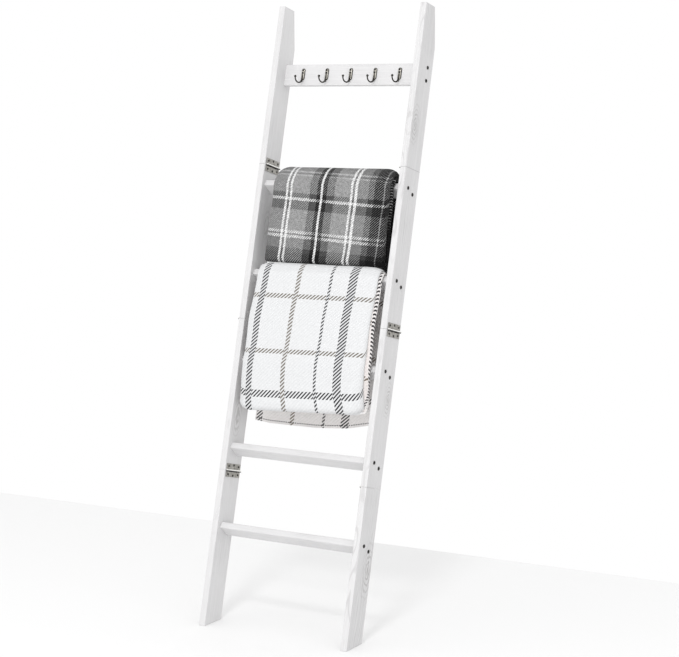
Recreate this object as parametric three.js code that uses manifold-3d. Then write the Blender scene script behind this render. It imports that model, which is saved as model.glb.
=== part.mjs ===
// Leaning blanket rack: a wooden ladder with folding rails, tilted rungs, a hook board and two
// folded blankets. Millimetres, +Z up, +Y towards the wall that the rack leans on, +X along it.
// The origin is on the floor, in the middle of the rack's footprint.
import * as THREE from 'three';
import { mergeVertices } from 'three/addons/utils/BufferGeometryUtils.js';
import Module from 'manifold-3d';

const wasm = await Module();
wasm.setup();

// ---- Driving dimensions ----
const LEAN = THREE.MathUtils.degToRad(14.4);
const LADDER_WIDTH = 495;
const RAIL = { length: 1829, depth: 82, thickness: 20, round: 2.5 };
const WALL_CUT_START = 1710;        // along the back edge, where the wall cut begins
const FOLDS = [452, 895, 1355];     // heights of the three folds along the rail
const FIT_GAP = 0.3;                // clearance between pieces that touch

const RUNG = { width: 50, thickness: 19, round: 3, centre: 39.5 };
const RUNG_TILT = THREE.MathUtils.degToRad(26);
const RUNG_HEIGHTS = [1292, 1027, 771, 515, 283];

const BOARD = { bottom: 1601, top: 1664, front: 46, thickness: 16, round: 2 };
const HOOK = { count: 5, spacing: 81.5, centre: 1634, plateWidth: 12, plateHeight: 35 };
const HOOK_WIRE = { plateThickness: 2.2, radius: 2.1, tipRadius: 3.6 };

const HINGE = { length: 70, leafHeight: 19, leafThickness: 1.6, barrel: 3.3, pin: 1.6, knuckles: 5 };
const HINGE_CENTRE = 42;            // middle of the hinge across the rail's depth
const LEAF_HOLE = { radius: 2.2, count: 3, stagger: 3 };

const SCREW = { headRadius: 4.2, headHeight: 1.6, shank: 2, length: 46, pitch: 32 };
const COUNTERBORE = { radius: 4.6, depth: 2.3, headRecess: 0.4 };

const RUNG_GAP = 1.5;               // between a blanket and the rung that it hangs on
const DARK = {
  left: -166, right: 216, thickness: 38, skew: 0.07, flare: 0.06,
  top: 1308, bottom: 1024, backBottom: 985,
};
const LIGHT = {
  left: -200, right: 214, thickness: 20, skew: 0.1, flare: 0.035,
  top: 1000, bottom: 613, backBottom: 556, foldThickness: 38, backFoldThickness: 24,
};
const [OUTER_STEPS, FOLD_STEPS] = [4, 8];

// ---- Worked out from the above ----
const INNER_FACE = LADDER_WIDTH / 2 - RAIL.thickness;
const OUTER_FACE = LADDER_WIDTH / 2;
const [SIN, COS] = [Math.sin(LEAN), Math.cos(LEAN)];
const WALL_Y = WALL_CUT_START * SIN + RAIL.depth * COS;
const FOOTPRINT_MIDDLE = WALL_Y / 2;

// ---- Materials ----
const finish = (color, roughness, metalness) =>
  new THREE.MeshStandardMaterial({ color, roughness, metalness });
const whitewash = finish(0xefeeec, 0.6, 0);
const nickel = finish(0x8f8c86, 0.35, 1);
const screwSteel = finish(0x6d6b68, 0.4, 1);
const darkWool = finish(0x5a5856, 0.95, 0);
const lightWool = finish(0xe9e6e1, 0.95, 0);

// ---- Booleans ----
function toSolid(geometry) {
  const bare = geometry.clone();
  bare.deleteAttribute('normal');
  bare.deleteAttribute('uv');
  const merged = mergeVertices(bare, 1e-4);
  return new wasm.Manifold(new wasm.Mesh({
    numProp: 3,
    vertProperties: new Float32Array(merged.attributes.position.array),
    triVerts: new Uint32Array(merged.index.array),
  }));
}

function toGeometry(solid) {
  const mesh = solid.getMesh();
  const geometry = new THREE.BufferGeometry();
  geometry.setAttribute('position', new THREE.BufferAttribute(mesh.vertProperties, 3));
  geometry.setIndex(new THREE.BufferAttribute(mesh.triVerts, 1));
  geometry.computeVertexNormals();
  return geometry;
}

const cut = (geometry, tools) =>
  toGeometry(tools.reduce((solid, tool) => solid.subtract(toSolid(tool)), toSolid(geometry)));
const join = (...geometries) =>
  toGeometry(geometries.slice(1).reduce((solid, g) => solid.add(toSolid(g)), toSolid(geometries[0])));

// ---- Shapes ----
// A rectangle with rounded corners, centred on the origin.
function roundedRectangle(width, height, radius) {
  const [x, y] = [width / 2, height / 2];
  const shape = new THREE.Shape();
  shape.moveTo(-x + radius, -y);
  shape.lineTo(x - radius, -y);
  shape.absarc(x - radius, -y + radius, radius, -Math.PI / 2, 0);
  shape.lineTo(x, y - radius);
  shape.absarc(x - radius, y - radius, radius, 0, Math.PI / 2);
  shape.lineTo(-x + radius, y);
  shape.absarc(-x + radius, y - radius, radius, Math.PI / 2, Math.PI);
  shape.lineTo(-x, -y + radius);
  shape.absarc(-x + radius, -y + radius, radius, Math.PI, 1.5 * Math.PI);
  return shape;
}

function extrude(shape, depth, curveSegments = 2) {
  return new THREE.ExtrudeGeometry(shape, { depth, bevelEnabled: false, curveSegments });
}

// A closed cylinder along X whose near end is at x, running towards the sign of length.
function rodAlongX(radius, x, y, z, length, segments = 8) {
  const rod = new THREE.CylinderGeometry(radius, radius, Math.abs(length), segments);
  return rod.rotateZ(Math.PI / 2).translate(x + length / 2, y, z);
}

// A closed cylinder along Y, centred on the point.
function rodAlongY(radius, x, y, z, length, segments = 10) {
  return new THREE.CylinderGeometry(radius, radius, length, segments).translate(x, y, z);
}

function box(width, depth, height, x, y, z) {
  return new THREE.BoxGeometry(width, depth, height).translate(x, y, z);
}

function addMesh(parent, name, geometry, material) {
  const mesh = new THREE.Mesh(geometry, material);
  mesh.name = name;
  parent.add(mesh);
  return mesh;
}

// ---- The leaning frame: X across, Y through the rail's depth, Z along the rail ----
const rack = new THREE.Group();
rack.position.y = -FOOTPRINT_MIDDLE;
const ladder = new THREE.Group();
ladder.rotation.x = -LEAN;
rack.add(ladder);

// Two screws hold each rung end, on the middle line of the tilted board.
function rungScrewCentres(height) {
  return [-1, 1].map((end) => ({
    depth: RUNG.centre + end * (SCREW.pitch / 2) * Math.cos(RUNG_TILT),
    height: height - end * (SCREW.pitch / 2) * Math.sin(RUNG_TILT),
  }));
}

// ---- Rails ----
// The foot is cut level with the floor, and the top's back corner is cut plumb against the wall.
function footWaste() {
  const size = 2 * RAIL.depth;
  return new THREE.BoxGeometry(size, 4 * size, size).translate(0, 0, -size / 2).rotateX(LEAN);
}

function wallWaste() {
  const size = 4 * RAIL.depth;
  const waste = new THREE.BoxGeometry(size, size, 2 * size).translate(0, size / 2, 0).rotateX(LEAN);
  return waste.translate(0, RAIL.depth, WALL_CUT_START);
}

function screwHole(side, depth, height) {
  const outside = side * (OUTER_FACE + 1);
  return [
    rodAlongX(SCREW.shank + FIT_GAP, outside, depth, height, -side * (RAIL.thickness + 2)),
    rodAlongX(COUNTERBORE.radius, outside, depth, height, -side * (COUNTERBORE.depth + 1), 12),
  ];
}

function railSection(side, from, to) {
  const profile = roundedRectangle(RAIL.thickness, RAIL.depth, RAIL.round);
  const start = from === 0 ? 0 : from + FIT_GAP / 2;
  const end = to === RAIL.length ? to : to - FIT_GAP / 2;
  const middle = side * (INNER_FACE + RAIL.thickness / 2);
  const bar = extrude(profile, end - start).translate(middle, RAIL.depth / 2, start);
  const holes = RUNG_HEIGHTS.filter((height) => height > from && height < to)
    .flatMap(rungScrewCentres)
    .flatMap((screw) => screwHole(side, screw.depth, screw.height));
  const wastes = [];
  if (from === 0) wastes.push(footWaste().translate(middle, 0, 0));
  if (to === RAIL.length) wastes.push(wallWaste().translate(middle, 0, 0));
  return cut(bar, [...wastes, ...holes]);
}

const SIDES = [['left', -1], ['right', 1]];
const SECTION_NAMES = ['foot', 'lower', 'upper', 'top'];
const stations = [0, ...FOLDS, RAIL.length];
for (const [sideName, side] of SIDES) {
  SECTION_NAMES.forEach((section, i) => {
    const geometry = railSection(side, stations[i], stations[i + 1]);
    addMesh(ladder, `${sideName}_rail_${section}`, geometry, whitewash);
  });
}

// ---- Rungs and their screws ----
function rungBoard() {
  const length = 2 * (INNER_FACE - FIT_GAP);
  const profile = roundedRectangle(RUNG.width, RUNG.thickness, RUNG.round);
  const board = extrude(profile, length).translate(0, 0, -length / 2);
  board.rotateX(Math.PI / 2).rotateZ(Math.PI / 2);
  const holes = [-1, 1].flatMap((side) => [-1, 1].map((end) =>
    rodAlongX(SCREW.shank + FIT_GAP, side * (INNER_FACE + 1), end * SCREW.pitch / 2, 0, -side * 29)));
  return cut(board, holes);
}

// A pan-head screw along Y with its head's underside at the origin and its tip at +Y.
function panScrew() {
  const points = [
    [0, -SCREW.headHeight],
    [SCREW.headRadius * 0.75, -SCREW.headHeight],
    [SCREW.headRadius, 0],
    [SCREW.shank, 0],
    [SCREW.shank, SCREW.length - 4],
    [0, SCREW.length],
  ];
  return new THREE.LatheGeometry(points.map(([r, y]) => new THREE.Vector2(r, y)), 10);
}

RUNG_HEIGHTS.forEach((height, i) => {
  const rung = addMesh(ladder, `rung_${i + 1}`, rungBoard(), whitewash);
  rung.position.set(0, RUNG.centre, height);
  rung.rotation.x = -RUNG_TILT;
  for (const [sideName, side] of SIDES) {
    rungScrewCentres(height).forEach((centre, j) => {
      const place = ['front', 'back'][j];
      const name = `rung_${i + 1}_screw_${sideName}_${place}`;
      const screw = addMesh(ladder, name, panScrew(), screwSteel);
      const headUnderside = OUTER_FACE - COUNTERBORE.headRecess - SCREW.headHeight;
      screw.position.set(side * headUnderside, centre.depth, centre.height);
      screw.rotation.z = side * Math.PI / 2;
    });
  }
});

// ---- Hook board and hooks ----
function hookBoard() {
  const length = 2 * (INNER_FACE - FIT_GAP);
  const profile = roundedRectangle(BOARD.thickness, BOARD.top - BOARD.bottom, BOARD.round);
  const board = extrude(profile, length).translate(0, 0, -length / 2);
  return board.rotateX(Math.PI / 2).rotateZ(Math.PI / 2);
}

const boardMesh = addMesh(ladder, 'hook_board', hookBoard(), whitewash);
boardMesh.position.set(0, BOARD.front + BOARD.thickness / 2, (BOARD.bottom + BOARD.top) / 2);

// The wire leaves the plate's foot, dips forward and turns up to a ball tip.
function hookArm() {
  const route = new THREE.CatmullRomCurve3([
    new THREE.Vector3(0, -2.4, -10),
    new THREE.Vector3(0, -4, -17),
    new THREE.Vector3(0, -11, -25.5),
    new THREE.Vector3(0, -23, -29),
    new THREE.Vector3(0, -36, -26),
    new THREE.Vector3(0, -42.5, -17.5),
    new THREE.Vector3(0, -42, -10),
  ]);
  const section = new THREE.Shape().absarc(0, 0, HOOK_WIRE.radius, 0, 2 * Math.PI);
  const options = { steps: 12, extrudePath: route, curveSegments: 4, bevelEnabled: false };
  return new THREE.ExtrudeGeometry(section, options);
}

function hook() {
  const outline = roundedRectangle(HOOK.plateWidth, HOOK.plateHeight, HOOK.plateWidth / 2 - 0.5);
  const plate = extrude(outline, HOOK_WIRE.plateThickness, 4).rotateX(Math.PI / 2);
  const tip = new THREE.SphereGeometry(HOOK_WIRE.tipRadius, 10, 6).translate(0, -42, -9);
  const nub = new THREE.SphereGeometry(HOOK_WIRE.radius * 1.1, 8, 4).translate(0, -3.2, -20);
  return join(plate, hookArm(), tip, nub);
}

for (let i = 0; i < HOOK.count; i++) {
  const mesh = addMesh(ladder, `hook_${i + 1}`, hook(), nickel);
  const x = (i - (HOOK.count - 1) / 2) * HOOK.spacing;
  mesh.position.set(x, BOARD.front - FIT_GAP, HOOK.centre);
}

// ---- Hinges: the pin runs through the rail's depth, proud of the face it is screwed to ----
// One leaf lies above the pin (up = 1) or below it (up = -1); knuckles alternate along the pin.
function hingeLeaf(up) {
  const { length, leafHeight, leafThickness, barrel, pin, knuckles } = HINGE;
  const knuckle = length / knuckles;
  const firstOwn = up > 0 ? 0 : 1;
  const plateMiddle = up * (barrel + 0.4 + (leafHeight - barrel) / 2);
  const plate = box(leafThickness, length, leafHeight - barrel, leafThickness / 2, 0, plateMiddle);
  const pieces = [plate];
  for (let i = firstOwn; i < knuckles; i += 2) {
    const y = -length / 2 + (i + 0.5) * knuckle;
    const size = knuckle - FIT_GAP;
    pieces.push(rodAlongY(barrel, barrel, y, 0, size));
    pieces.push(box(leafThickness, size, barrel + 1, leafThickness / 2, y, up * (barrel / 2 + 0.5)));
  }
  const bore = rodAlongY(pin + FIT_GAP, barrel, 0, 0, length + 2);
  const holes = Array.from({ length: LEAF_HOLE.count }, (_, i) => {
    const y = (i - (LEAF_HOLE.count - 1) / 2) * length * 0.36;
    const z = up * (leafHeight * 0.62 + (i % 2 ? LEAF_HOLE.stagger : 0));
    return rodAlongX(LEAF_HOLE.radius, -1, y, z, leafThickness + 2);
  });
  return cut(join(...pieces), [bore, ...holes]);
}

function hingePin() {
  const { length, barrel, pin } = HINGE;
  return rodAlongY(pin, barrel, 0, 0, length + 1);
}

// Folds are counted from the floor; the middle one has its hinges outside, the others inside.
FOLDS.forEach((height, i) => {
  const outside = i === 1;
  for (const [sideName, side] of SIDES) {
    const hinge = new THREE.Group();
    const facing = outside ? side : -side;
    const face = side * (outside ? OUTER_FACE : INNER_FACE) + facing * FIT_GAP;
    hinge.position.set(face, HINGE_CENTRE, height);
    if (facing < 0) hinge.rotation.z = Math.PI;
    ladder.add(hinge);
    const name = `fold_${i + 1}_${sideName}_hinge`;
    addMesh(hinge, `${name}_upper_leaf`, hingeLeaf(1), nickel);
    addMesh(hinge, `${name}_lower_leaf`, hingeLeaf(-1), nickel);
    addMesh(hinge, `${name}_pin`, hingePin(), screwSteel);
  }
});

// ---- Blankets: plumb soft solids, each one folded stack laid over a rung ----
// The world place of a point given by depth and height in the leaning frame.
const plumb = (depth, height) =>
  new THREE.Vector2(height * SIN + depth * COS, height * COS - depth * SIN);

// A corner of a rung's section, along = -1 front or 1 back, across = -1 lower or 1 upper face.
function rungCorner(height, along, across) {
  const [half, thick] = [along * RUNG.width / 2, across * RUNG.thickness / 2];
  const depth = RUNG.centre + half * Math.cos(RUNG_TILT) + thick * Math.sin(RUNG_TILT);
  return plumb(depth, height - half * Math.sin(RUNG_TILT) + thick * Math.cos(RUNG_TILT));
}

// The stack's outline: its inner side is straight from corner to corner, its outer side is one
// smooth curve, and each end is a round fold between the two.
function stackOutline(inner, outer) {
  const skin = new THREE.SplineCurve(outer.map(([y, z]) => new THREE.Vector2(y, z)));
  const skinPoints = skin.getPoints(OUTER_STEPS * (outer.length - 1));
  const lining = inner.map(([y, z]) => new THREE.Vector2(y, z));
  const backFold = roundFold(lining.at(-1), skinPoints.at(-1));
  const frontFold = roundFold(skinPoints[0], lining[0]);
  return new THREE.Shape([...lining, ...backFold, ...skinPoints.reverse(), ...frontFold]);
}

// The half circle hanging between two points of one height, without the points themselves.
function roundFold(from, to) {
  const middle = from.clone().add(to).multiplyScalar(0.5);
  const reach = (from.x - to.x) / 2;
  return Array.from({ length: FOLD_STEPS - 1 }, (_, i) => {
    const angle = Math.PI * (i + 1) / FOLD_STEPS;
    const drop = Math.abs(reach) * Math.sin(angle);
    return new THREE.Vector2(middle.x + reach * Math.cos(angle), middle.y - drop);
  });
}

// How far behind a line a depth is: 0 in front of it, 1 a little way behind.
function behindOf(front, back) {
  return (y) => THREE.MathUtils.smoothstep(y, front, back);
}

// A stack hangs a little askew: going down from its top it drifts to the left, and in front its
// left side spreads outwards as well.
function hangingStack(blanket, outline, skewOf, backOf) {
  const solid = extrude(outline, blanket.right - blanket.left);
  solid.rotateX(Math.PI / 2).rotateZ(Math.PI / 2).translate(blanket.left, 0, 0);
  const position = solid.attributes.position;
  for (let i = 0; i < position.count; i++) {
    const [x, y] = [position.getX(i), position.getY(i)];
    const drop = Math.max(0, blanket.top - position.getZ(i));
    const share = (blanket.right - x) / (blanket.right - blanket.left);
    const spread = blanket.flare * share * (1 - backOf(y));
    position.setX(i, x - (skewOf(y) + spread) * drop);
  }
  return solid;
}

// The dark blanket's front fall ends just above the light blanket's top.
function darkBlanket() {
  const t = DARK.thickness;
  const [nose, crest] = [rungCorner(RUNG_HEIGHTS[0], -1, -1), rungCorner(RUNG_HEIGHTS[0], -1, 1)];
  const heel = rungCorner(RUNG_HEIGHTS[0], 1, 1);
  const [frontEnd, backEnd] = [DARK.bottom + t / 2, DARK.backBottom + t / 2];
  const inner = [
    [nose.x - 15, frontEnd],
    [nose.x - RUNG_GAP, nose.y - 30],
    [nose.x - RUNG_GAP, nose.y],
    [crest.x - RUNG_GAP, crest.y + RUNG_GAP],
    [crest.x + 2, crest.y + 1.5 * RUNG_GAP],
    [heel.x + RUNG_GAP, heel.y + RUNG_GAP],
    [heel.x + RUNG_GAP, heel.y - 10],
    [heel.x + 2, backEnd],
  ];
  const outer = [
    [nose.x - 15 - t, frontEnd],
    [nose.x - 8 - t, nose.y - 100],
    [nose.x - RUNG_GAP - t, nose.y - 12],
    [nose.x - t * 0.62, nose.y + t * 1.05],
    [crest.x + 1, crest.y + t + 4],
    [heel.x + 5, heel.y + t * 1.25],
    [heel.x + RUNG_GAP + t, heel.y - 6],
    [heel.x + 2 + t, heel.y - 110],
    [heel.x + 2 + t, backEnd],
  ];
  const back = behindOf(crest.x, heel.x);
  return hangingStack(DARK, stackOutline(inner, outer), () => DARK.skew, back);
}

// The light blanket's front fall lies on the next rung down; its back fall hangs free.
function lightBlanket() {
  const t = LIGHT.thickness;
  const [nose, crest] = [rungCorner(RUNG_HEIGHTS[1], -1, -1), rungCorner(RUNG_HEIGHTS[1], -1, 1)];
  const heel = rungCorner(RUNG_HEIGHTS[1], 1, 1);
  const rest = rungCorner(RUNG_HEIGHTS[2], -1, -1);
  const [front, back] = [LIGHT.foldThickness, LIGHT.backFoldThickness];
  const [frontEnd, backEnd] = [LIGHT.bottom + front / 2, LIGHT.backBottom + back / 2];
  const inner = [
    [rest.x - 7, frontEnd],
    [rest.x - RUNG_GAP, rest.y - 12],
    [rest.x - RUNG_GAP, rest.y + 6],
    [nose.x - RUNG_GAP, nose.y - 12],
    [nose.x - RUNG_GAP, nose.y + 4],
    [crest.x - RUNG_GAP, crest.y + RUNG_GAP],
    [crest.x + 2, crest.y + 1.5 * RUNG_GAP],
    [heel.x + RUNG_GAP, heel.y + RUNG_GAP],
    [heel.x + RUNG_GAP, heel.y - 10],
    [heel.x - 20, backEnd],
  ];
  const outer = [
    [rest.x - 7 - front, frontEnd],
    [rest.x - 4 - front, rest.y - 70],
    [rest.x - RUNG_GAP - t - 4, rest.y + 6],
    [(rest.x + nose.x) / 2 - t - 4, (rest.y + nose.y) / 2],
    [nose.x - RUNG_GAP - t, nose.y - 14],
    [nose.x - t * 0.55, nose.y + t * 1.2],
    [crest.x + 1, crest.y + t + 1],
    [(crest.x + heel.x) / 2 + t * 0.6, (crest.y + heel.y) / 2 + t * 0.9],
    [heel.x + t * 0.95, heel.y + 3],
    [heel.x + t, heel.y - 60],
    [heel.x - 12 + t, (heel.y + backEnd) / 2 - 60],
    [heel.x - 20 + back, backEnd],
  ];
  const behind = behindOf(crest.x, (crest.x + heel.x) / 2 - 3);
  const askew = (y) => LIGHT.skew * behind(y);
  return hangingStack(LIGHT, stackOutline(inner, outer), askew, behind);
}

addMesh(rack, 'dark_blanket', darkBlanket(), darkWool);
addMesh(rack, 'light_blanket', lightBlanket(), lightWool);

export default rack;
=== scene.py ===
"""A whitewashed leaning blanket ladder with two folded check throws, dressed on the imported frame."""

import math
from dataclasses import dataclass

import bmesh
import bpy
import numpy as np
from mathutils import Matrix, Vector


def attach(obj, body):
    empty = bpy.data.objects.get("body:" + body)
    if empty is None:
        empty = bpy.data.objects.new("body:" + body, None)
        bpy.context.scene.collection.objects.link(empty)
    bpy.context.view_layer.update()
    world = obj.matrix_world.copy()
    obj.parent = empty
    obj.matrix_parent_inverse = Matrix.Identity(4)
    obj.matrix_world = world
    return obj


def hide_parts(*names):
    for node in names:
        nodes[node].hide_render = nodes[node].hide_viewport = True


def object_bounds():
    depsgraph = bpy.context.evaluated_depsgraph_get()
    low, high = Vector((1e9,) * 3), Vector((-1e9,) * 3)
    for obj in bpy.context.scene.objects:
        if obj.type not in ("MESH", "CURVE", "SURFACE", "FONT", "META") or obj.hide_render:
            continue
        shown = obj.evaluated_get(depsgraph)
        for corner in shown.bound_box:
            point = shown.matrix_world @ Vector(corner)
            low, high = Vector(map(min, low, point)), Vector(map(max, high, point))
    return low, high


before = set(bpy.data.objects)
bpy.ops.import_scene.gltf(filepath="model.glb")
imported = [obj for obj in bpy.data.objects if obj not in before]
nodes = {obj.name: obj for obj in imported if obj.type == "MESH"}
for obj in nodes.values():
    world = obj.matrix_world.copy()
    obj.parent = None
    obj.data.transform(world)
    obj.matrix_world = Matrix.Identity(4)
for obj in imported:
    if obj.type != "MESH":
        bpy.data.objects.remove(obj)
cad_box = [list(corner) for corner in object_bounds()]

# ---- The ladder's own frame: X across, Y through the rail's depth, Z along the rail ----
LEAN = math.radians(14.4)
LADDER = Matrix.Translation((0, cad_box[0][1], 0)) @ Matrix.Rotation(-LEAN, 4, "X")
ORIGIN = LADDER.inverted() @ Vector((0, 0, 0))   # where the materials' own coordinates start
OUTER_FACE, INNER_FACE = 0.2475, 0.2275          # of a rail, from the middle of the ladder
FOLDS = (0.452, 0.895, 1.355)
RUNG_HEIGHTS = (1.292, 1.027, 0.771, 0.515, 0.283)
RUNG_DEPTH, RUNG_TILT = 0.0395, math.radians(26)
BOARD_FRONT = 0.046
GAP = 0.0003                                     # between pieces that touch

# ---- Colours: linear RGB, or a grey ----
WHITE, GREY_GRAIN = (0.66, 0.656, 0.66), (0.47, 0.465, 0.47)
CREAM, CREAM_SHADE = (0.710, 0.715, 0.722), (0.675, 0.680, 0.688)
TAUPE, CHARCOAL = (0.17, 0.15, 0.125), (0.035, 0.035, 0.038)
GREY, MID, DIM, INK, CHALK = 0.37, 0.23, 0.095, 0.006, 0.95


# ---- Materials ----
class Surface:
    """A Principled material and short calls for building the nodes that feed it."""

    def __init__(self, name, **values):
        self.material = bpy.data.materials.new(name)
        self.material.use_nodes = True
        self.tree = self.material.node_tree
        self.shader = next(n for n in self.tree.nodes if n.type == "BSDF_PRINCIPLED")
        for socket, value in values.items():
            self.shader.inputs[socket.replace("_", " ")].default_value = value

    def node(self, kind, inputs=None, out=0, **settings):
        """Adds a node, sets or links its inputs and returns one of its outputs."""
        node = self.tree.nodes.new("ShaderNode" + kind)
        for key, value in settings.items():
            setattr(node, key, value)
        for key, value in (inputs or {}).items():
            if isinstance(value, bpy.types.NodeSocket):
                self.tree.links.new(value, node.inputs[key])
            else:
                node.inputs[key].default_value = value
        return node.outputs[out]

    def math(self, operation, a, b=0.0):
        return self.node("Math", {0: a, 1: b}, operation=operation)

    def multiply_add(self, a, b, c, use_clamp=False):
        return self.node("Math", {0: a, 1: b, 2: c}, operation="MULTIPLY_ADD", use_clamp=use_clamp)

    def vector_math(self, operation, a, b):
        return self.node("VectorMath", {0: a, 1: b}, operation=operation)

    def scaled(self, vector, x, y, z):
        return self.vector_math("MULTIPLY", vector, (x, y, z))

    def part(self, vector, axis):
        """One of a vector's three parts."""
        return self.node("SeparateXYZ", {0: vector}, out=axis)

    def place(self):
        """The point being shaded, in the part's own coordinates."""
        return self.node("TexCoord", out=3)

    def levelled(self, turn):
        """The same, turned about X until a tilted board lies square to its axes."""
        return self.node("Mapping", {"Vector": self.place(), "Rotation": (turn, 0, 0)})

    def noise(self, vector, detail=2.0, distortion=0.0):
        inputs = {"Vector": vector, "Scale": 1.0, "Detail": detail, "Distortion": distortion}
        return self.node("TexNoise", inputs)

    def ramp(self, fac, stops, interpolation="LINEAR"):
        """A colour ramp with (position, grey or colour) stops."""
        node = self.tree.nodes.new("ShaderNodeValToRGB")
        self.tree.links.new(fac, node.inputs[0])
        node.color_ramp.interpolation = interpolation
        for i, (position, colour) in enumerate(stops):
            if i < 2:
                element = node.color_ramp.elements[i]
                element.position = position
            else:
                element = node.color_ramp.elements.new(position)
            rgb = colour if isinstance(colour, tuple) else (colour,) * 3
            element.color = (*rgb, 1)
        return node.outputs[0]

    def mix(self, fac, a, b, blend="MIX"):
        node = self.tree.nodes.new("ShaderNodeMix")
        node.data_type, node.blend_type = "RGBA", blend
        for key, value in ((0, fac), (6, a), (7, b)):
            if isinstance(value, bpy.types.NodeSocket):
                self.tree.links.new(value, node.inputs[key])
            else:
                node.inputs[key].default_value = value if key == 0 else (*value, 1)
        return node.outputs[2]

    def colour(self, socket):
        self.tree.links.new(socket, self.shader.inputs["Base Color"])

    def roughness(self, socket):
        self.tree.links.new(socket, self.shader.inputs["Roughness"])

    def bump(self, height, strength, distance):
        inputs = {"Height": height, "Strength": strength, "Distance": distance}
        self.tree.links.new(self.node("Bump", inputs), self.shader.inputs["Normal"])


def whitewash(name, turn, along, marks=None):
    """Pine under thin white paint. turn levels the board about X, and along is its long axis."""
    s = Surface(name, Roughness=0.55, Specular_IOR_Level=0.35)
    board = s.levelled(turn)
    stretch = (0.05, 1, 1) if along == "X" else (1, 1, 0.05)
    fine = s.noise(s.scaled(board, *(420 * k for k in stretch)), 4, 0.3)
    broad = s.noise(s.scaled(board, *(70 * k * k for k in stretch)), 3, 1.2)
    rings = s.math("SINE", s.math("MULTIPLY", broad, 42.0))
    streak = s.ramp(fine, [(0.42, 0.0), (0.72, 1.0)])
    ring = s.ramp(s.multiply_add(rings, 0.5, 0.5), [(0.1, 0.0), (0.5, 1.0)])
    patch = s.ramp(s.noise(s.scaled(board, 9, 9, 9), 2), [(0.35, 0.25), (0.7, 1.0)])
    both = s.math("ADD", s.math("MULTIPLY", streak, 0.32), s.math("MULTIPLY", ring, 0.20))
    colour = s.mix(s.math("MULTIPLY", both, patch), WHITE, GREY_GRAIN)
    s.colour(marks(s, board, colour) if marks else colour)
    s.roughness(s.ramp(fine, [(0.3, 0.48), (0.8, 0.68)]))
    s.bump(s.math("ADD", s.math("MULTIPLY", fine, 0.7), s.math("MULTIPLY", ring, 0.3)), 0.35, 0.0006)
    return s.material


def cut_lines(s, board, colour):
    """Grey lines where the rail is cut at its folds."""
    along = s.part(board, 2)
    for fold in FOLDS:
        away = s.math("ABSOLUTE", s.math("SUBTRACT", along, fold - ORIGIN.z))
        line = s.ramp(s.math("MULTIPLY", away, 100.0), [(0.03, 0.6), (0.10, 0.0)])
        colour = s.mix(line, colour, (0.34, 0.33, 0.33))
    return colour


def rail_figure(s, board, colour):
    """Broad curved grain in some stretches, strongest on the right rail."""
    bend = s.noise(s.scaled(board, 16, 16, 3.4), 2)
    depth = s.math("ADD", s.part(board, 1), s.math("MULTIPLY", bend, 0.06))
    figure = s.ramp(s.math("SINE", s.math("MULTIPLY", depth, 950.0)), [(0.55, 0.0), (1.0, 1.0)])
    region = s.ramp(s.noise(s.scaled(board, 5, 5, 3), 1), [(0.42, 0.08), (0.58, 0.40)])
    on_right = s.math("GREATER_THAN", s.part(board, 0), 0.0)
    region = s.math("MULTIPLY", region, s.multiply_add(on_right, 0.75, 0.25))
    return s.mix(s.math("MULTIPLY", figure, region), colour, (0.40, 0.39, 0.395))


def knot(s, board, colour, centre, size):
    """A dark core with the grain parting round it."""
    oval = s.scaled(s.vector_math("SUBTRACT", board, centre), 0.6 / size, 1 / size, 0.42 / size)
    waves = s.node("TexNoise", {"Vector": oval, "Scale": 1.1}, out=1)
    wavy = s.vector_math("ADD", oval, s.scaled(waves, 0.9, 0.9, 0.9))
    centred = s.vector_math("SUBTRACT", wavy, (0.45, 0.45, 0.45))
    reach = s.node("VectorMath", {0: centred}, out=1, operation="LENGTH")
    bands = s.ramp(s.math("SINE", s.math("MULTIPLY", reach, 9.0)), [(0.0, 0.0), (0.8, 1.0)])
    fade = s.ramp(s.math("MULTIPLY", reach, 0.25), [(0.25, 1.0), (0.95, 0.0)])
    around = s.math("MULTIPLY", s.math("MULTIPLY", bands, fade), 0.6)
    core = s.ramp(reach, [(0.25, 0.6), (0.55, 0.0)])
    return s.mix(s.math("MAXIMUM", around, core), colour, (0.30, 0.29, 0.285))


# (side, depth, height, size) of each knot; the side is -1 for the left rail and 1 for the right
KNOTS = ((1, 0.062, 0.222, 0.011), (1, 0.058, 0.700, 0.007), (-1, 0.030, 0.610, 0.009),
         (-1, 0.050, 1.180, 0.007), (1, 0.020, 1.480, 0.008))


def rail_marks(s, board, colour):
    """What sets a rail apart from the other boards."""
    colour = rail_figure(s, board, cut_lines(s, board, colour))
    for side, depth, height, size in KNOTS:
        centre = Vector((side * OUTER_FACE, depth, height)) - ORIGIN
        colour = knot(s, board, colour, centre, size)
    return colour


def barrel_highlight_and_shade(s, colour):
    """A hinge's barrel, with a painted highlight on top and painted shade underneath."""
    along = s.part(s.levelled(LEAN), 2)
    for fold in FOLDS:
        below = fold - ORIGIN.z - 0.005
        near = s.math("MULTIPLY", s.math("SUBTRACT", along, below), 100.0)
        # Painted shade, near black, under the barrel and on the knuckles below it
        painted_shade = s.ramp(near, [(0.0, 0.0), (0.06, 1.0), (0.36, 1.0), (0.44, 0.0)])
        # Painted highlight, near white, along the barrel's top
        painted_highlight = s.ramp(near, [(0.44, 0.0), (0.5, 1.0), (0.8, 1.0), (0.84, 0.0)])
        colour = s.mix(painted_highlight, s.mix(painted_shade, colour, (0.02, 0.019, 0.018)), (0.90, 0.89, 0.87))
    return colour


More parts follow.
